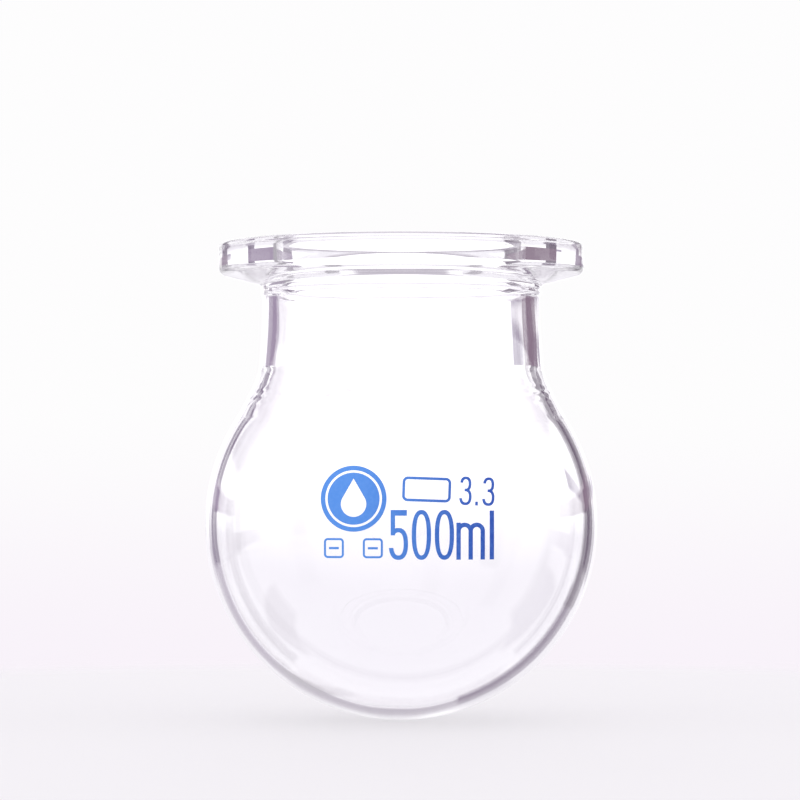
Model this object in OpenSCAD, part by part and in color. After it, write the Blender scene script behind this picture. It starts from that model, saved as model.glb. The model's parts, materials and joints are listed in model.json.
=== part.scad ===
// Wide-mouth round bottom flask with a flat ground flange, nominal 500 ml.
// The origin is the lowest point of the bulb, on the axis. +Z runs up the axis and the print faces -Y.
// The glass pieces meet face to face, as the glassblower fuses them, from the top down:
// flange ring, flange weld, neck, shoulder weld, bulb.

/* [Bulb] */
// Outer diameter of the spherical bulb
bulb_od = 107; // [105:0.5:110]
// Wall of the bulb
bulb_wall = 3.1; // [2.6:0.1:3.6]
// Height at which the bulb ends and the shoulder weld begins
bulb_top = 81; // [80:0.2:82]

/* [Neck] */
// Outer diameter of the neck just under the flange
neck_od = 75.6; // [75:0.1:76.2]
// Wall of the neck, and of the flange's hub
neck_wall = 3.6; // [3.2:0.1:4]
// How far the neck's outside flares on its way down to the shoulder weld
neck_flare = 1; // [0.6:0.1:1.4]

/* [Welds] */
// Height of the fused shoulder between bulb and neck
shoulder_h = 15; // [14:0.1:16]
// How far the shoulder's wall is drawn in from a straight cone
shoulder_hollow = 0.6; // [0.2:0.1:0.8]
// Height of the fused ring between neck and flange
flange_weld_h = 2; // [1.6:0.1:2.6]
// How far the flange weld's bead stands proud of the neck
flange_bead = 0.25; // [0.1:0.05:0.4]

/* [Flange] */
// Outer diameter of the flange
flange_od = 100; // [98:0.5:102]
// Height of the ground top face above the bulb's lowest point
total_height = 130; // [129:0.5:132]
// Thickness of the flange, measured where the underside's slope would meet the outer wall
rim_h = 8.2; // [7.6:0.1:9]
// Slope of the underside, in degrees
underside_slope = 14; // [8:1:16]
// Outer diameter of the flange's hub where it meets the weld
hub_od = 76.2; // [75.8:0.1:77]
// Rounding of the top outer edge
top_edge_r = 1.2; // [0.6:0.1:1.6]
// Rounding of the lower outer edge
low_edge_r = 2; // [1.2:0.1:2.6]
// Fillet between the underside and the hub
hub_fillet_r = 2; // [1.2:0.1:2.4]
// Rounding of the mouth's inner edge
mouth_edge_r = 1.5; // [0.8:0.1:2]

/* [Print] */
// Thickness of the fired-on print
print_t = 0.05; // [0.04:0.01:0.1]
// Diameter of the round mark
emblem_d = 17.1; // [15:0.1:18]
// Height of the capacity figures
figure_h = 12.9; // [11:0.1:14]
// Stroke of the capacity figures and unit
figure_stroke = 1.15; // [0.8:0.05:1.3]
// Height of the glass grade's figures
grade_h = 7.4; // [6.6:0.1:8]
// Stroke of the glass grade's figures
grade_stroke = 0.7; // [0.5:0.02:0.8]
// Tilt of the glass grade's line, in degrees
grade_tilt = -2; // [-4:0.5:0]

/* [Hidden] */

GLASS = [0.86, 0.89, 0.93, 0.45];
WELD = [0.74, 0.76, 0.84, 0.6];
ENAMEL = [0.2, 0.38, 0.78];

$fn = 120;
turn_fn = 240;
arc_fn = 1440;
oval_step = 8;
oval_power = 0.84;

// Bulb
bulb_r = bulb_od / 2;
bulb_in_r = bulb_r - bulb_wall;
bulb_rise = bulb_top - bulb_r;
bulb_rim_r = sqrt(pow(bulb_r, 2) - pow(bulb_rise, 2));
bulb_rim_in_r = sqrt(pow(bulb_in_r, 2) - pow(bulb_rise, 2));

// Flange: the underside is a cone whose slope meets the outer wall at rim_low
flange_r = flange_od / 2;
hub_r = hub_od / 2;
rim_low = total_height - rim_h;
function underside_z(r) = rim_low - (flange_r - r) * tan(underside_slope);
low_edge_c = [
    flange_r - low_edge_r,
    underside_z(flange_r - low_edge_r) + low_edge_r / cos(underside_slope)
];
hub_fillet_c = [
    hub_r + hub_fillet_r,
    underside_z(hub_r + hub_fillet_r) - hub_fillet_r / cos(underside_slope)
];
down_normal = [sin(underside_slope), -cos(underside_slope)];
flange_low = hub_fillet_c[1];

// Neck: its wall follows one large arc that is upright at the top
neck_low = bulb_top + shoulder_h;
neck_high = flange_low - flange_weld_h;
neck_len = neck_high - neck_low;
neck_r = neck_od / 2;
bore_r = neck_r - neck_wall;
flare_r = (pow(neck_len, 2) + pow(neck_flare, 2)) / (2 * neck_flare);
flare_in_r = flare_r + neck_wall;
neck_foot_r = neck_r + neck_flare;
neck_foot_in_r = neck_r + flare_r - sqrt(pow(flare_in_r, 2) - pow(neck_len, 2));

// Print positions on the bulb's front: X from the axis, Y up from the origin
emblem_at = [-12.3, 60.5];
emblem_rim = 1.2;
emblem_gap = 0.6;
drop_r = 3.3;
drop_low = -1.4;
drop_tip = 5.2;
marks_at = [[-17.4, 47.7], [-7.3, 47.7]];
mark_size = [5.2, 5.2];
mark_corner_r = 1;
mark_stroke = 0.55;
mark_bar_size = [2.6, 0.6];
grade_at = [0, 59.4];
field_at = [0.2, 0.5];
field_size = [12.6, 6.4];
field_corner_r = 1.4;
grade_figure_w = 3.2;
grade_figures_x = [15, 21];
grade_point_x = 19.2;
grade_point = [0.7, 1];
capacity_at = [-3.2, 44.7];
figure_w = 5;
figures_x = [0, 5.95, 11.9];
unit_m_x = 17.5;
unit_m_h = 9.6;
unit_m_pitch = 3.15;
unit_l_x = 26.2;
unit_l_h = 12.7;

// ---------- the glass ----------

module turned() {
    rotate_extrude($fn = turn_fn)
        children();
}

// Disc through points a and b that stands proud of the line between them by sag, to the right of a to b
module bead_disc(a, b, sag) {
    chord = norm(b - a);
    r = (pow(chord / 2, 2) + pow(sag, 2)) / (2 * sag);
    outwards = [b[1] - a[1], a[0] - b[0]] / chord;
    translate((a + b) / 2 - outwards * (r - sag))
        circle(r = r, $fn = arc_fn);
}

// Cross-section of the fused ring under the flange: straight inside, beaded outside
module flange_weld_section() {
    low = [neck_r, neck_high];
    high = [hub_r, flange_low];
    intersection() {
        translate([bore_r, neck_high])
            square([flange_r - bore_r, flange_weld_h]);
        union() {
            polygon([[bore_r, neck_high], low, high, [bore_r, flange_low]]);
            bead_disc(low, high, flange_bead);
        }
    }
}

// Cross-section of the fused shoulder: the wall runs from the bulb's rim to the neck's foot, drawn in between
module shoulder_section() {
    difference() {
        intersection() {
            bead_disc([neck_foot_in_r, neck_low], [bulb_rim_in_r, bulb_top], shoulder_hollow);
            translate([0, bulb_top])
                square([bulb_r, shoulder_h]);
        }
        bead_disc([neck_foot_r, neck_low], [bulb_rim_r, bulb_top], shoulder_hollow);
    }
}

module flange_section() {
    difference() {
        union() {
            polygon([
                [bore_r, flange_low],
                [hub_r, flange_low],
                hub_fillet_c - hub_fillet_r * down_normal,
                low_edge_c + low_edge_r * down_normal,
                [flange_r, low_edge_c[1]],
                [flange_r, total_height - top_edge_r],
                [flange_r - top_edge_r, total_height],
                [bore_r + mouth_edge_r, total_height],
                [bore_r, total_height - mouth_edge_r]
            ]);
            translate(low_edge_c)
                circle(r = low_edge_r);
            translate([flange_r - top_edge_r, total_height - top_edge_r])
                circle(r = top_edge_r);
            translate([bore_r + mouth_edge_r, total_height - mouth_edge_r])
                circle(r = mouth_edge_r);
        }
        translate(hub_fillet_c)
            circle(r = hub_fillet_r);
    }
}

module flange_ring() {
    color(GLASS)
        turned()
            flange_section();
}

module flange_weld() {
    color(WELD)
        turned()
            flange_weld_section();
}

module neck_tube() {
    color(GLASS)
        turned()
            difference() {
                intersection() {
                    translate([neck_r + flare_r, neck_high])
                        circle(r = flare_in_r, $fn = arc_fn);
                    translate([0, neck_low])
                        square([neck_foot_r + 1, neck_len]);
                }
                translate([neck_r + flare_r, neck_high])
                    circle(r = flare_r, $fn = arc_fn);
            }
}

module shoulder_weld() {
    color(WELD)
        turned()
            shoulder_section();
}

module bulb() {
    color(GLASS)
        difference() {
            translate([0, 0, bulb_r])
                sphere(r = bulb_r, $fn = turn_fn);
            translate([0, 0, bulb_r])
                sphere(r = bulb_in_r, $fn = turn_fn);
            translate([-bulb_r, -bulb_r, bulb_top])
                cube([bulb_od, bulb_od, bulb_r]);
        }
}

// ---------- flat drawings for the print, X right and Y up ----------

// A cosine or sine drawn out towards -1 and 1, which squares an oval's shoulders
function squarer(c) = sign(c) * pow(abs(c), oval_power);

// Outline of an upright oval, its lower left corner at the origin
function oval(w, h) = [
    for (a = [0 : oval_step : 360 - oval_step])
        [w / 2 * (1 + squarer(cos(a))), h / 2 * (1 + squarer(sin(a)))]
];

module oval_ring(w, h, stroke) {
    difference() {
        polygon(oval(w, h));
        translate([stroke, stroke])
            polygon(oval(w - 2 * stroke, h - 2 * stroke));
    }
}

module rounded_square(size, r) {
    for (x = [r, size[0] - r], y = [r, size[1] - r])
        translate([x, y])
            circle(r = r);
    translate([r, 0])
        square([size[0] - 2 * r, size[1]]);
    translate([0, r])
        square([size[0], size[1] - 2 * r]);
}

module rounded_frame(size, r, stroke) {
    difference() {
        rounded_square(size, r);
        translate([stroke, stroke])
            rounded_square(size - 2 * [stroke, stroke], r - stroke);
    }
}

module figure_five(w, h, stroke) {
    bowl_h = 0.64 * h;
    stem_x = 0.1 * w;
    difference() {
        oval_ring(w, bowl_h, stroke);
        translate([-stroke, 0.24 * h])
            square([w / 2 + stroke, 0.25 * h]);
        translate([-stroke, 0.24 * h])
            square([stem_x + stroke, bowl_h]);
    }
    translate([stem_x, 0.49 * h])
        square([stroke, 0.51 * h]);
    translate([stem_x, h - 1.3 * stroke])
        square([0.84 * w, 1.3 * stroke]);
}

module figure_three(w, h, stroke) {
    inset = 0.05 * w;
    waist = 0.53 * h;
    difference() {
        union() {
            oval_ring(w, waist + stroke / 2, stroke);
            translate([inset, waist - stroke / 2])
                oval_ring(w - 2 * inset, h - waist + stroke / 2, stroke);
        }
        translate([-stroke, 0.24 * h])
            square([0.42 * w + stroke, 0.54 * h]);
    }
}

// Three stems joined by two half-round arches
module letter_m(h, pitch, stroke) {
    arch_w = pitch + stroke;
    spring_y = h - arch_w / 2;
    square([stroke, h]);
    for (i = [1, 2])
        translate([i * pitch, 0])
            square([stroke, spring_y]);
    for (i = [0, 1])
        translate([i * pitch + arch_w / 2, spring_y])
            difference() {
                circle(d = arch_w);
                circle(d = arch_w - 2 * stroke);
                translate([-arch_w, -arch_w])
                    square([2 * arch_w, arch_w]);
            }
}

// Plain drop: a disc with a pointed top whose sides are tangent to it
module drop() {
    lean = asin(drop_r / (drop_tip - drop_low));
    side = drop_r * [cos(lean), sin(lean)];
    translate([0, drop_low])
        circle(r = drop_r);
    polygon([
        [0, drop_tip],
        [-side[0], drop_low + side[1]],
        [side[0], drop_low + side[1]]
    ]);
}

// ---------- the fired-on print ----------

// Lays a flat drawing on the front of the bulb as a thin skin
module on_bulb() {
    intersection() {
        translate([0, 0, bulb_r])
            difference() {
                sphere(r = bulb_r + print_t, $fn = turn_fn);
                sphere(r = bulb_r, $fn = turn_fn);
            }
        rotate([90, 0, 0])
            linear_extrude(height = bulb_r + 1)
                children();
    }
}

module emblem_print() {
    inner_d = emblem_d - 2 * emblem_rim;
    color(ENAMEL)
        on_bulb()
            translate(emblem_at) {
                difference() {
                    circle(d = emblem_d);
                    circle(d = inner_d);
                }
                difference() {
                    circle(d = inner_d - 2 * emblem_gap);
                    drop();
                }
            }
}

module emblem_bars_print() {
    color(ENAMEL)
        on_bulb()
            for (at = marks_at)
                translate(at) {
                    translate(-mark_size / 2)
                        rounded_frame(mark_size, mark_corner_r, mark_stroke);
                    square(mark_bar_size, center = true);
                }
}

module grade_line() {
    translate(grade_at)
        rotate(grade_tilt)
            children();
}

module grade_field_print() {
    color(ENAMEL)
        on_bulb()
            grade_line()
                translate(field_at)
                    rounded_frame(field_size, field_corner_r, grade_stroke);
}

module grade_figures_print() {
    color(ENAMEL)
        on_bulb()
            grade_line() {
                for (x = grade_figures_x)
                    translate([x, 0])
                        figure_three(grade_figure_w, grade_h, grade_stroke);
                translate([grade_point_x, 0])
                    square(grade_point);
            }
}

module capacity_figures_print() {
    color(ENAMEL)
        on_bulb()
            translate(capacity_at) {
                translate([figures_x[0], 0])
                    figure_five(figure_w, figure_h, figure_stroke);
                for (i = [1, 2])
                    translate([figures_x[i], 0])
                        oval_ring(figure_w, figure_h, figure_stroke);
            }
}

module capacity_unit_print() {
    color(ENAMEL)
        on_bulb()
            translate(capacity_at) {
                translate([unit_m_x, 0])
                    letter_m(unit_m_h, unit_m_pitch, figure_stroke);
                translate([unit_l_x, 0])
                    square([figure_stroke, unit_l_h]);
            }
}

flange_ring();
flange_weld();
neck_tube();
shoulder_weld();
bulb();
emblem_print();
emblem_bars_print();
grade_field_print();
grade_figures_print();
capacity_figures_print();
capacity_unit_print();
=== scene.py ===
"""Looks of a wide-mouth round bottom flask in clear glass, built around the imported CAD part."""

import json
import math
import random

import bmesh
import bpy
import numpy as np
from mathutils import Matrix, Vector


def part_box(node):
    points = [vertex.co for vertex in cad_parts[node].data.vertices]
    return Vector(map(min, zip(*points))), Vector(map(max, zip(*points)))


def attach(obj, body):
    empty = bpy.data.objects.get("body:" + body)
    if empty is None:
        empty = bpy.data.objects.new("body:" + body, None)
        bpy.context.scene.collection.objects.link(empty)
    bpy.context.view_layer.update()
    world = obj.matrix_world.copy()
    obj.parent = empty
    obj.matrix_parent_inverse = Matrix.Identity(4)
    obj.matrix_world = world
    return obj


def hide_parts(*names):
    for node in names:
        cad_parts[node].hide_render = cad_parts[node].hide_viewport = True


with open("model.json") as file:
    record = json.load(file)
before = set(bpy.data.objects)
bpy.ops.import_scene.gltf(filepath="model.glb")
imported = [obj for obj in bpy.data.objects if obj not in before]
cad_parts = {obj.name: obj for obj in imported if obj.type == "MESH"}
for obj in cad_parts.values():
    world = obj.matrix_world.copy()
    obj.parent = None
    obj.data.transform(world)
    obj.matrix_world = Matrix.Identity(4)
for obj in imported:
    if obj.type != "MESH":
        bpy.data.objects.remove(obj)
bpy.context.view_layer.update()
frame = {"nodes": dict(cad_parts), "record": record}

MM = 0.001

# ---------- sizes in millimetres, as in the CAD source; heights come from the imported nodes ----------


def level(node, top):
    """Height of a node's top or bottom, in millimetres."""
    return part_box(node)[1 if top else 0].z / MM


def mount_radius(name):
    """Radius that the record states for a round mount, in millimetres."""
    mounts = frame["record"]["mounts"]
    return next(m["dims"]["r_mm"] for m in mounts if m["name"] == name)


BULB_TOP = level("bulb", True)
NECK_LOW = level("shoulder_weld", True)
NECK_HIGH = level("neck_tube", True)
FLANGE_LOW = level("flange_ring", False)
FLANGE_TOP = level("flange_ring", True)
BORE_R = mount_radius("mouth")
FLANGE_R = mount_radius("flange_rim")
BULB_R = 53.5
BULB_WALL = 3.1
NECK_WALL = 3.6
NECK_FLARE = 1.0
HUB_R = 38.1
RIM_H = 8.2
UNDERSIDE_SLOPE = math.radians(14)
TOP_EDGE_R = 1.2
LOW_EDGE_R = 2.0
HUB_FILLET_R = 2.0
MOUTH_EDGE_R = 1.5
FLANGE_BEAD = 0.25

NECK_R = BORE_R + NECK_WALL
NECK_LEN = NECK_HIGH - NECK_LOW
FLARE_R = (NECK_LEN**2 + NECK_FLARE**2) / (2 * NECK_FLARE)
BULB_IN_R = BULB_R - BULB_WALL
BULB_RIM_R = math.sqrt(BULB_R**2 - (BULB_TOP - BULB_R) ** 2)
BULB_RIM_IN_R = math.sqrt(BULB_IN_R**2 - (BULB_TOP - BULB_R) ** 2)

# Half the sliver of air left between two glass pieces, so that their joint faces don't coincide
JOINT_GAP = 0.01
# Heights between which the flame that fused the neck on left ripples
WORKED_LOW, WORKED_HIGH = 84.5, 92.0

# Greatest unevenness of each surface
BULB_INNER_WAVE = 0.13
SHOULDER_OUTER_WAVE, SHOULDER_INNER_WAVE = 0.10, 0.06
NECK_INNER_WAVE = 0.12
FLANGE_WELD_OUTER_WAVE, FLANGE_WELD_INNER_WAVE = 0.05, 0.02
FLANGE_WAVE = 0.07
# Seeds that give each piece waves of its own
BULB_SEED, SHOULDER_SEED, NECK_SEED, FLANGE_WELD_SEED, FLANGE_SEED = 3, 11, 5, 17, 23

# Greatest angle between neighbouring faces that still shades as one smooth surface
SMOOTH_ANGLE = math.radians(25)
# Fineness of the turned meshes: round the axis, along an arc in millimetres, and along each curve
SEGMENTS = 288
ARC_STEP = 1.1
SHOULDER_STEPS = 44
NECK_STEPS = 32
FLANGE_WELD_STEPS = 20
# Lengths below this count as nothing
TINY = 1e-6


# ---------- turned glass ----------


def arc(centre, radius, start, end):
    """Points (radius, height) on an arc of the cross-section, angles in degrees from straight outward."""
    steps = max(6, round(abs(math.radians(end - start)) * radius / ARC_STEP))
    angles = [math.radians(start + (end - start) * i / steps) for i in range(steps + 1)]
    return [(centre[0] + radius * math.cos(a), centre[1] + radius * math.sin(a)) for a in angles]


def line(a, b, step=1.0):
    """Points from a to b on a straight line of the cross-section, both ends included."""
    steps = max(1, round(math.dist(a, b) / step))
    across, up = b[0] - a[0], b[1] - a[1]
    return [(a[0] + across * i / steps, a[1] + up * i / steps) for i in range(steps + 1)]


def flowing(a, leaving, b, arriving, pull=0.65):
    """A smooth curve from a to b that leaves and arrives in the given directions."""
    reach = pull * math.dist(a, b)
    p, q, u, v = (np.array(x, float) for x in (a, b, leaving, arriving))
    u, v = u * reach / np.linalg.norm(u), v * reach / np.linalg.norm(v)
    points = []
    for t in np.linspace(0, 1, SHOULDER_STEPS + 1):
        place = (2 * t**3 - 3 * t**2 + 1) * p + (t**3 - 2 * t**2 + t) * u
        place += (3 * t**2 - 2 * t**3) * q + (t**3 - t**2) * v
        points.append(tuple(float(c) for c in place))
    return points


def joined(*runs):
    """One outline from several runs of points, with the repeated points left out."""
    outline = []
    for run in runs:
        for p in run:
            if not outline or math.dist(p, outline[-1]) > TINY:
                outline.append(p)
    if math.dist(outline[0], outline[-1]) < TINY:
        outline.pop()
    return outline


def turned_mesh(name, outline, joints=(), shape=None):
    """Closed mesh turned about Z. Faces on the joint heights get the second material slot.
    shape takes arrays of radius, height and angle and returns the hand-made radius and height."""
    on_axis = [r < TINY for r, z in outline]
    closed = not any(on_axis)
    angles = np.arange(SEGMENTS) * 2 * math.pi / SEGMENTS
    verts, rings = [], []
    for (r, z), pole in zip(outline, on_axis):
        if pole:
            rings.append([len(verts)] * SEGMENTS)
            verts.append((0, 0, z * MM))
            continue
        radius, height = np.full(SEGMENTS, float(r)), np.full(SEGMENTS, float(z))
        if shape is not None:
            radius, height = shape(radius, height, angles)
        rings.append(range(len(verts), len(verts) + SEGMENTS))
        points = np.stack([radius * np.cos(angles), radius * np.sin(angles), height], 1) * MM
        verts.extend(map(tuple, points))
    faces, slots = [], []
    pairs = list(zip(range(len(rings)), range(1, len(rings))))
    if closed:
        pairs.append((len(rings) - 1, 0))
    for i, j in pairs:
        flat = abs(outline[i][1] - outline[j][1]) < TINY
        at_joint = flat and any(abs(outline[i][1] - h) < TINY for h in joints)
        for s in range(SEGMENTS):
            t = (s + 1) % SEGMENTS
            corners = (rings[i][s], rings[i][t], rings[j][t], rings[j][s])
            faces.append(tuple(dict.fromkeys(corners)))
            slots.append(1 if at_joint else 0)
    mesh = bpy.data.meshes.new(name)
    mesh.from_pydata(verts, [], faces)
    mesh.polygons.foreach_set("material_index", slots)
    mesh.shade_smooth()
    mesh.set_sharp_from_angle(angle=SMOOTH_ANGLE)
    mesh.update()
    return mesh


def ripple(angle, height, waves, seed):
    """Irregular waviness between -1 and 1."""
    rng = random.Random(seed)
    total, most = 0, 0
    for around, along in waves:
        weight = rng.uniform(0.6, 1.0)
        phase = rng.uniform(0, 6.28)
        total = total + weight * np.sin(around * angle + 2 * math.pi * along * height + phase)
        most += weight
    return total / most


def between(height, low, high):
    """0 at low and high, 1 half way, with no slope at either end."""
    return np.sin(math.pi * np.clip((height - low) / (high - low), 0, 1)) ** 2


# Waves in the glass: (waves round the axis, turns per millimetre of height)
SLOW_WAVES = ((2, 0.004), (3, 0.011), (5, -0.008), (4, 0.02))
FLAME_WAVES = ((7, 0.05), (11, -0.09), (16, 0.14), (21, 0.33), (27, -0.41), (17, 0.52))


def bulb_outline():
    """The blown bulb: two concentric arcs from the bottom up to the shoulder."""
    centre = (0, BULB_R)
    top = BULB_TOP - JOINT_GAP
    end = math.degrees(math.asin((top - BULB_R) / BULB_R))
    end_in = math.degrees(math.asin((top - BULB_R) / BULB_IN_R))
    outer, inner = arc(centre, BULB_R, -90, end), arc(centre, BULB_IN_R, end_in, -90)
    outer[0], inner[-1] = (0, 0), (0, BULB_WALL)
    outer[-1], inner[0] = (outer[-1][0], top), (inner[0][0], top)
    return joined(outer, inner)


def bulb_shape(radius, height, angle):
    """The blown bulb is true outside, and its wall varies a little inside."""
    reach = np.hypot(radius, height - BULB_R)
    inside = reach < BULB_R - BULB_WALL / 2
    polar = np.clip(radius / BULB_IN_R, 0, 1)
    free = between(height, -BULB_TOP, BULB_TOP) * polar
    change = np.where(inside, BULB_INNER_WAVE * free * ripple(angle, height, SLOW_WAVES, BULB_SEED), 0)
    grown = (reach + change) / reach
    return radius * grown, BULB_R + (height - BULB_R) * grown


def shoulder_outline():
    """The fused shoulder runs on from the bulb's wall and into the neck's with no edge."""
    low, high = BULB_TOP + JOINT_GAP, NECK_LOW - JOINT_GAP
    foot_in = NECK_R + FLARE_R - math.sqrt((FLARE_R + NECK_WALL) ** 2 - NECK_LEN**2)
    rise = BULB_TOP - BULB_R
    up_neck = (-NECK_LEN, FLARE_R)
    outer = flowing((BULB_RIM_R, low), (-rise, BULB_RIM_R), (NECK_R + NECK_FLARE, high), up_neck)
    inner = flowing((BULB_RIM_IN_R, low), (-rise, BULB_RIM_IN_R), (foot_in, high), up_neck)
    return joined(outer, reversed(inner))


def shoulder_shape(radius, height, angle):
    """Flame-worked, so the seam ripples outside and, more softly, inside."""
    free = between(height, WORKED_LOW, WORKED_HIGH)
    slope = (BULB_RIM_R - NECK_R - NECK_FLARE) / (NECK_LOW - BULB_TOP)
    middle = (BULB_RIM_R + BULB_RIM_IN_R) / 2 - slope * (height - BULB_TOP)
    amount = np.where(radius > middle, SHOULDER_OUTER_WAVE, SHOULDER_INNER_WAVE)
    return radius + free * amount * ripple(angle, height, FLAME_WAVES, SHOULDER_SEED), height


def neck_outline():
    """The drawn neck: two concentric arcs that lean out towards the bulb."""
    low, high = NECK_LOW + JOINT_GAP, NECK_HIGH - JOINT_GAP

    def wall(flare_r):
        points = []
        for i in range(NECK_STEPS + 1):
            z = low + (high - low) * i / NECK_STEPS
            points.append((NECK_R + FLARE_R - math.sqrt(flare_r**2 - (NECK_HIGH - z) ** 2), z))
        return points

    return joined(wall(FLARE_R), reversed(wall(FLARE_R + NECK_WALL)))


def neck_shape(radius, height, angle):
    """Drawn tube: its wall varies slowly round the axis."""
    inside = radius < BORE_R + NECK_WALL / 2
    free = between(height, NECK_LOW, NECK_HIGH)
    change = NECK_INNER_WAVE * free * ripple(angle, height, SLOW_WAVES, NECK_SEED)
    return radius + np.where(inside, change, 0), height


def flange_weld_outline():
    """The seam under the flange: a low bead outside, and the bore inside."""
    low, high = NECK_HIGH + JOINT_GAP, FLANGE_LOW - JOINT_GAP
    outer = []
    for i in range(FLANGE_WELD_STEPS + 1):
        t = i / FLANGE_WELD_STEPS
        bead = FLANGE_BEAD * 4 * t * (1 - t)
        outer.append((NECK_R + (HUB_R - NECK_R) * t + bead, low + (high - low) * t))
    return joined(outer, line((BORE_R, high), (BORE_R, low), (high - low) / FLANGE_WELD_STEPS))


def flange_weld_shape(radius, height, angle):
    """Flame-worked, so it ripples outside and, more softly, inside."""
    free = between(height, NECK_HIGH, FLANGE_LOW)
    outside = radius > BORE_R + NECK_WALL / 2
    amount = np.where(outside, FLANGE_WELD_OUTER_WAVE, FLANGE_WELD_INNER_WAVE)
    return radius + free * amount * ripple(angle, height, FLAME_WAVES, FLANGE_WELD_SEED), height


def flange_outline():
    """The pressed flange: ground top, rounded rim, sloped underside with a fillet into the hub."""
    slope = math.degrees(UNDERSIDE_SLOPE)
    rim_low = FLANGE_TOP - RIM_H

    def underside(r):
        return rim_low - (FLANGE_R - r) * math.tan(UNDERSIDE_SLOPE)

    low = FLANGE_LOW + JOINT_GAP
    low_x = FLANGE_R - LOW_EDGE_R
    low_c = (low_x, underside(low_x) + LOW_EDGE_R / math.cos(UNDERSIDE_SLOPE))
    fillet_x = HUB_R + HUB_FILLET_R
    fillet_c = (fillet_x, FLANGE_LOW)
    fillet = arc(fillet_c, HUB_FILLET_R, 180, 90 + slope)
    fillet[0] = (HUB_R, low)
    lower_edge = arc(low_c, LOW_EDGE_R, slope - 90, 0)
    top_edge = arc((FLANGE_R - TOP_EDGE_R, FLANGE_TOP - TOP_EDGE_R), TOP_EDGE_R, 0, 90)
    mouth_edge = arc((BORE_R + MOUTH_EDGE_R, FLANGE_TOP - MOUTH_EDGE_R), MOUTH_EDGE_R, 90, 180)
    return joined(
        fillet,
        line(fillet[-1], lower_edge[0]),
        lower_edge,
        line(lower_edge[-1], top_edge[0]),
        top_edge,
        line(top_edge[-1], mouth_edge[0]),
        mouth_edge,
        line(mouth_edge[-1], (BORE_R, low)),
    )


def flange_shape(radius, height, angle):
    """Pressed and fire-polished: rim, bore and underside are slightly uneven, the ground top is flat."""
    free = between(height, FLANGE_LOW, FLANGE_TOP)
    return radius + FLANGE_WAVE * free * ripple(angle, height, SLOW_WAVES, FLANGE_SEED), height


# ---------- node helpers ----------


def new_material(name):
    """A material with an empty node tree."""
    mat = bpy.data.materials.new(name)
    mat.use_nodes = True
    mat.node_tree.nodes.clear()
    return mat


def add(tree, kind, **inputs):
    """A node with its inputs set by name, from a value or from another node's output."""
    node = tree.nodes.new(kind)
    for name, value in inputs.items():
        plug(tree, node.inputs[name.replace("_", " ")], value)
    return node


def plug(tree, socket, value):
    """Links another node's output to a socket, or sets the socket to a value."""
    if isinstance(value, bpy.types.NodeSocket):
        tree.links.new(value, socket)
    else:
        socket.default_value = value


def math_node(tree, operation, *values):
    node = tree.nodes.new("ShaderNodeMath")
    node.operation = operation
    for socket, value in zip(node.inputs, values):
        plug(tree, socket, value)
    return node.outputs[0]


def smooth_range(tree, value, low, high, to_low=0.0, to_high=1.0):
    """A smooth step of value from to_low at low to to_high at high."""
    node = tree.nodes.new("ShaderNodeMapRange")
    node.interpolation_type = "SMOOTHSTEP"
    for name, setting in (
        ("Value", value),
        ("From Min", low),
        ("From Max", high),
        ("To Min", to_low),
        ("To Max", to_high),
    ):
        plug(tree, node.inputs[name], setting)
    return node.outputs["Result"]


def mix_colour(tree, factor, a, b):
    """Colour a where factor is 0 and b where it is 1."""
    node = tree.nodes.new("ShaderNodeMix")
    node.data_type = "RGBA"
    plug(tree, node.inputs[0], factor)
    plug(tree, node.inputs[6], a)
    plug(tree, node.inputs[7], b)
    return node.outputs[2]


def noise(tree, coordinates, scale, stretch=(1, 1, 1), detail=2.0, distortion=0.0):
    mapping = add(tree, "ShaderNodeMapping", Vector=coordinates, Scale=stretch)
    node = add(tree, "ShaderNodeTexNoise", Vector=mapping.outputs[0])
    node.inputs["Scale"].default_value = scale
    node.inputs["Detail"].default_value = detail
    node.inputs["Distortion"].default_value = distortion
    return node.outputs[0]


def object_place(tree):
    return tree.nodes.new("ShaderNodeTexCoord").outputs["Object"]


def bump_node(tree, height, strength, distance):
    """Surface normals tilted by a height map, distance in millimetres."""
    bump = tree.nodes.new("ShaderNodeBump")
    bump.inputs["Strength"].default_value = strength
    bump.inputs["Distance"].default_value = distance * MM
    tree.links.new(height, bump.inputs["Height"])
    return bump.outputs[0]


def set_surface(tree, shader):
    """Makes the shader the material's surface."""
    out = tree.nodes.new("ShaderNodeOutputMaterial")
    tree.links.new(shader.outputs[0], out.inputs["Surface"])


# ---------- materials ----------

GLASS_IOR = 1.473
BLOOM_SCALE = 45.0
BLOOM_ROUGHNESS = 0.012


def glass_material(name, tint, ripple_scale, stretch, strength):
    """Clear glass with faint striae and a trace of bloom on its surface."""
    mat = new_material(name)
    tree = mat.node_tree
    place = object_place(tree)
    striae = noise(tree, place, ripple_scale, stretch, distortion=0.4)
    bloom = noise(tree, place, BLOOM_SCALE, detail=4.0)
    shader = tree.nodes.new("ShaderNodeBsdfPrincipled")
    shader.inputs["Base Color"].default_value = (*tint, 1)
    shader.inputs["Transmission Weight"].default_value = 1.0
    shader.inputs["IOR"].default_value = GLASS_IOR
    hazy = smooth_range(tree, bloom, 0.45, 0.75, 0.0, BLOOM_ROUGHNESS)
    tree.links.new(hazy, shader.inputs["Roughness"])
    tree.links.new(bump_node(tree, striae, strength, 0.1), shader.inputs["Normal"])
    set_surface(tree, shader)
    return mat


def joint_material():
    """Fused joint between two glass pieces, where there is no surface to see."""
    mat = new_material("fused_joint")
    tree = mat.node_tree
    shader = tree.nodes.new("ShaderNodeBsdfPrincipled")
    shader.inputs["Alpha"].default_value = 0.0
    shader.inputs["Roughness"].default_value = 1.0
    set_surface(tree, shader)
    return mat


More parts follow.
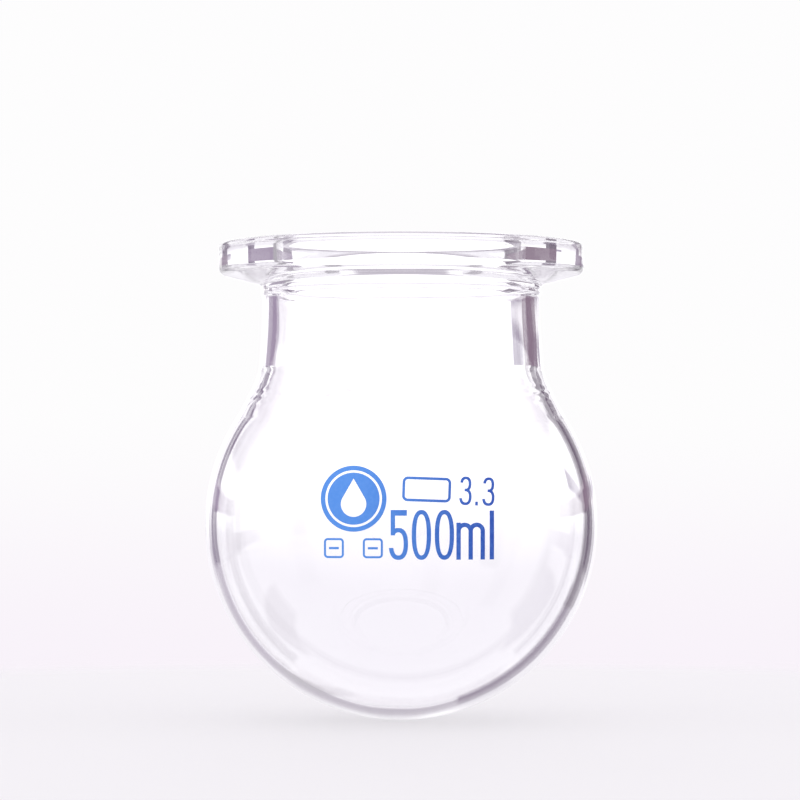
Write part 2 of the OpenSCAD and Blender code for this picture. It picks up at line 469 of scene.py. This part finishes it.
# The enamel's blue darkens from the emblem's side to the unit's: places in millimetres
PALEST_AT, DEEPEST_AT = -16, 26
PALE_ENAMEL = (0.08, 0.265, 0.74, 1)
DEEP_ENAMEL = (0.012, 0.066, 0.385, 1)
ENAMEL_GRAIN = (0.18, 0.38, 0.82, 1)
MOTTLE_SCALE = 900.0


def enamel_material():
    """Fired-on blue enamel with a fine screen-print mottle."""
    mat = new_material("blue_enamel")
    tree = mat.node_tree
    place = object_place(tree)
    across = tree.nodes.new("ShaderNodeSeparateXYZ")
    tree.links.new(place, across.inputs[0])
    # The blue darkens steadily from the emblem's side to the unit's side
    deepening = smooth_range(tree, across.outputs[0], PALEST_AT * MM, DEEPEST_AT * MM)
    colour = mix_colour(tree, deepening, PALE_ENAMEL, DEEP_ENAMEL)
    mottle = noise(tree, place, MOTTLE_SCALE, detail=3.0)
    grain = smooth_range(tree, mottle, 0.35, 0.7, 0.0, 0.16)
    colour = mix_colour(tree, grain, colour, ENAMEL_GRAIN)
    shader = tree.nodes.new("ShaderNodeBsdfPrincipled")
    shader.inputs["Specular IOR Level"].default_value = 0.3
    tree.links.new(colour, shader.inputs["Base Color"])
    tree.links.new(smooth_range(tree, mottle, 0.3, 0.7, 0.36, 0.5), shader.inputs["Roughness"])
    tree.links.new(bump_node(tree, mottle, 0.25, 0.02), shader.inputs["Normal"])
    set_surface(tree, shader)
    return mat


CLEAR_GLASS = glass_material("clear_glass", (0.985, 0.98, 0.99), 60.0, (1, 1, 0.25), 0.05)
WELD_GLASS = glass_material("weld_glass", (0.98, 0.97, 0.985), 160.0, (1, 1, 1.6), 0.08)
FUSED_JOINT = joint_material()
ENAMEL = enamel_material()


# ---------- pieces ----------


def show(name, mesh, node, materials):
    """A finished piece that rides on the part and stands for one CAD node."""
    for mat in materials:
        mesh.materials.append(mat)
    piece = bpy.data.objects.new(name, mesh)
    bpy.context.scene.collection.objects.link(piece)
    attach(piece, "root")
    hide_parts(node)
    return piece


def add_glass():
    """The five fused pieces of glass."""
    clear, weld = (CLEAR_GLASS, FUSED_JOINT), (WELD_GLASS, FUSED_JOINT)
    pieces = (
        ("bulb", bulb_outline(), bulb_shape, "clear_glass", clear),
        ("shoulder_weld", shoulder_outline(), shoulder_shape, "weld_glass", weld),
        ("neck_tube", neck_outline(), neck_shape, "clear_glass", clear),
        ("flange_weld", flange_weld_outline(), flange_weld_shape, "weld_glass", weld),
        ("flange_ring", flange_outline(), flange_shape, "clear_glass", clear),
    )
    seams = (BULB_TOP, NECK_LOW, NECK_HIGH, FLANGE_LOW)
    joints = [seam + side * JOINT_GAP for seam in seams for side in (-1, 1)]
    for node, outline, shape, slot, materials in pieces:
        mesh = turned_mesh(node + "_glass", outline, joints, shape)
        show(node + "_glass", mesh, node, materials)


PRINTS = (
    "emblem_print",
    "emblem_bars_print",
    "grade_field_print",
    "grade_figures_print",
    "capacity_figures_print",
    "capacity_unit_print",
)
# Widest cell of the print's mesh, its thickness in the CAD, and its two faces' heights off the glass
PRINT_CELL = 0.5
PRINT_T = 0.05
PRINT_LOW = 0.01
PRINT_HIGH = 0.06
# Points of the print's mesh closer than this become one, and a point this near a cut counts as on it
MERGE_WITHIN = 0.001
CUT_WITHIN = 0.0001


def conformed_print(node):
    """The CAD node's mesh, cut finer and laid on the true sphere of the bulb."""
    mesh = frame["nodes"][node].data.copy()
    mesh.name = node + "_enamel"
    mesh.materials.clear()
    low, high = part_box(node)
    work = bmesh.new()
    work.from_mesh(mesh)
    bmesh.ops.remove_doubles(work, verts=work.verts, dist=MERGE_WITHIN * MM)
    for axis in (0, 2):
        normal = Vector((0, 0, 0))
        normal[axis] = 1
        cuts = int((high[axis] - low[axis]) / (PRINT_CELL * MM))
        for i in range(1, cuts + 1):
            place = Vector((0, 0, 0))
            place[axis] = low[axis] + i * PRINT_CELL * MM
            everything = [*work.verts, *work.edges, *work.faces]
            bmesh.ops.bisect_plane(
                work, geom=everything, dist=CUT_WITHIN * MM, plane_co=place, plane_no=normal
            )
    centre = Vector((0, 0, BULB_R * MM))
    middle = BULB_R + PRINT_T / 2
    for v in work.verts:
        out = v.co - centre
        reach = PRINT_HIGH if out.length / MM > middle else PRINT_LOW
        v.co = centre + out.normalized() * (BULB_R + reach) * MM
    bmesh.ops.recalc_face_normals(work, faces=work.faces)
    work.to_mesh(mesh)
    work.free()
    mesh.shade_smooth()
    mesh.set_sharp_from_angle(angle=SMOOTH_ANGLE)
    mesh.update()
    return mesh


def add_prints():
    for node in PRINTS:
        show(node + "_enamel", conformed_print(node), node, (ENAMEL,))


# ---------- floor, light and camera ----------

# In metres
FLOOR_R = 0.34
FLOOR_DROP = 0.0001
# Share of the floor's radius at which it starts to fade out
FADE_FROM = 0.7
FLOOR_COLOUR = (0.19, 0.185, 0.19, 1)
FLOOR_GLOW = (0.98, 0.955, 0.995, 1)


def add_floor():
    """A pale disc just under the flask, lit from above and glowing a little, that fades out at its edge."""
    mesh = bpy.data.meshes.new("floor")
    work = bmesh.new()
    bmesh.ops.create_circle(work, cap_ends=True, segments=256, radius=FLOOR_R)
    work.to_mesh(mesh)
    work.free()
    mat = new_material("pale_floor")
    tree = mat.node_tree
    shader = tree.nodes.new("ShaderNodeBsdfPrincipled")
    shader.inputs["Base Color"].default_value = FLOOR_COLOUR
    shader.inputs["Emission Color"].default_value = FLOOR_GLOW
    shader.inputs["Emission Strength"].default_value = 0.67
    shader.inputs["Roughness"].default_value = 0.9
    shader.inputs["Specular IOR Level"].default_value = 0.1
    reach = tree.nodes.new("ShaderNodeVectorMath")
    reach.operation = "LENGTH"
    tree.links.new(object_place(tree), reach.inputs[0])
    fade = smooth_range(tree, reach.outputs["Value"], FLOOR_R, FADE_FROM * FLOOR_R)
    tree.links.new(fade, shader.inputs["Alpha"])
    set_surface(tree, shader)
    mesh.materials.append(mat)
    floor = bpy.data.objects.new("floor", mesh)
    floor.location.z = -FLOOR_DROP
    floor.visible_transmission = False
    bpy.context.scene.collection.objects.link(floor)


def shade(tone, red=1.0, green=0.95, blue=1.04):
    """A colour of the studio round the flask, near neutral, as bright as tone."""
    return (tone * red, tone * green, tone * blue, 1)


def degrees(tree, socket):
    """An angle in radians as degrees."""
    return math_node(tree, "MULTIPLY", socket, 180 / math.pi)


def card(tree, azimuth, up, sides, heights, soft):
    """1 on a soft-edged card between two values of each angle, in degrees, and 0 off it."""
    mask = 1.0
    for value, (low, high) in ((azimuth, sides), (up, heights)):
        rise = smooth_range(tree, value, low - soft, low + soft)
        fall = smooth_range(tree, value, high + soft, high - soft)
        mask = math_node(tree, "MULTIPLY", mask, math_node(tree, "MULTIPLY", rise, fall))
    return mask


# Ring of cards behind the flask: degrees round from straight below towards +X, degrees off +Y,
# softness of the edges, colour
RING = (
    ((-34, 34), (15.5, 24), 3.0, shade(0.72)),
    ((-42, 25), (22, 36), 2.0, shade(0.50, 1.0, 0.92, 1.06)),
    ((-82, -38), (23, 36), 2.0, shade(0.50, 1.0, 0.90, 1.08)),
    ((-138, -76), (25.5, 36), 0.8, shade(0.24, 1.0, 0.80, 1.16)),
    ((18, 70), (23.5, 42), 1.2, shade(0.25, 1.0, 0.80, 1.12)),
    ((62, 142), (21.5, 39), 0.8, shade(0.17, 1.0, 0.78, 1.10)),
    ((125, 190), (56.5, 63.5), 1.5, shade(0.52, 1.0, 0.92, 1.06)),
    ((-190, -125), (56.5, 63.5), 1.5, shade(0.52, 1.0, 0.92, 1.06)),
)

# Cards round the flask: azimuths from the back (0) towards -X, elevations, softness of the edges, colour
CARDS = (
    ((25.5, 72), (1.8, 6.5), 0.3, shade(0.36, 1.0, 0.80, 1.12)),
    ((36, 72), (14, 38), 1.5, shade(0.34, 1.0, 0.84, 1.12)),
    ((-74, -34), (24, 40), 1.5, shade(0.34, 1.0, 0.86)),
    ((-21, -11.5), (1.8, 3.3), 0.3, shade(0.46, 1.0, 0.90, 1.12)),
    ((-74, -21), (1.8, 6.5), 0.3, shade(0.26, 1.0, 0.72, 0.98)),
    ((62, 72), (-45, 30), 1.5, shade(0.42)),
    ((110, 124), (-30, 24), 1.5, shade(0.42)),
    ((16, 24), (-48, -22), 1.5, shade(0.50)),
    ((-165, -153), (-42, 6), 1.5, shade(0.50)),
    ((-117, -105), (-42, 6), 1.5, shade(0.50)),
)

# The tent itself, below the horizon and above it, and the elevations between which it brightens
TENT_LOW = shade(0.94, 1.0, 0.975, 1.03)
TENT_HIGH = shade(1.35, 1, 0.99, 1.01)
TENT_RISE = (-3.0, 2.0)
# What the camera sees behind the flask, above the horizon and below it, and where it fades
PLAIN_WHITE = (0.985, 0.98, 0.985, 1)
HORIZON = (0.945, 0.895, 0.955, 1)
HORIZON_FADE = (1.5, -3.0)


def add_light():
    """A bright tent with darker cards in it, which draw the glass's edges. The camera sees plain white."""
    world = bpy.data.worlds.new("studio")
    world.use_nodes = True
    bpy.context.scene.world = world
    tree = world.node_tree
    tree.nodes.clear()
    direction = tree.nodes.new("ShaderNodeTexCoord").outputs["Generated"]
    parts = tree.nodes.new("ShaderNodeSeparateXYZ")
    tree.links.new(direction, parts.inputs[0])
    x, y, z = parts.outputs
    azimuth = degrees(tree, math_node(tree, "ARCTAN2", math_node(tree, "MULTIPLY", x, -1), y))
    up = degrees(tree, math_node(tree, "ARCSINE", z))
    studio = mix_colour(tree, smooth_range(tree, up, *TENT_RISE), TENT_LOW, TENT_HIGH)
    lean = degrees(tree, math_node(tree, "ARCCOSINE", y))
    turn = degrees(tree, math_node(tree, "ARCTAN2", x, math_node(tree, "MULTIPLY", z, -1)))
    for turns, leans, soft, colour in RING:
        studio = mix_colour(tree, card(tree, turn, lean, turns, leans, soft), studio, colour)
    for sides, heights, soft, colour in CARDS:
        studio = mix_colour(tree, card(tree, azimuth, up, sides, heights, soft), studio, colour)
    plain = mix_colour(tree, smooth_range(tree, up, *HORIZON_FADE), PLAIN_WHITE, HORIZON)
    seen = tree.nodes.new("ShaderNodeLightPath").outputs["Is Camera Ray"]
    background = add(tree, "ShaderNodeBackground", Color=mix_colour(tree, seen, studio, plain))
    out = tree.nodes.new("ShaderNodeOutputWorld")
    tree.links.new(background.outputs[0], out.inputs["Surface"])


# Where the camera stands and what it looks at, in metres, and its focal length in millimetres
EYE = Vector((0.0, -0.950, 0.064))
AIM = Vector((-0.0003, 0.0, 0.0873))
LENS = 156.2


def add_camera():
    data = bpy.data.cameras.new("camera")
    data.lens = LENS
    data.sensor_width = 36.0
    data.clip_start = 0.01
    camera = bpy.data.objects.new("camera", data)
    camera.location = EYE
    camera.rotation_euler = (AIM - EYE).to_track_quat("-Z", "Y").to_euler()
    bpy.context.scene.collection.objects.link(camera)
    bpy.context.scene.camera = camera


# Light guided round inside the glass walls is only let go after many reflections
LIGHT_BOUNCES = 80


def set_light_paths():
    scene = bpy.context.scene
    scene.view_settings.view_transform = "Standard"
    scene.cycles.max_bounces = LIGHT_BOUNCES
    scene.cycles.transmission_bounces = LIGHT_BOUNCES
    scene.cycles.glossy_bounces = LIGHT_BOUNCES
    scene.cycles.transparent_max_bounces = LIGHT_BOUNCES
    scene.cycles.caustics_refractive = True
    scene.cycles.caustics_reflective = True


add_glass()
add_prints()
add_floor()
add_light()
add_camera()
set_light_paths()
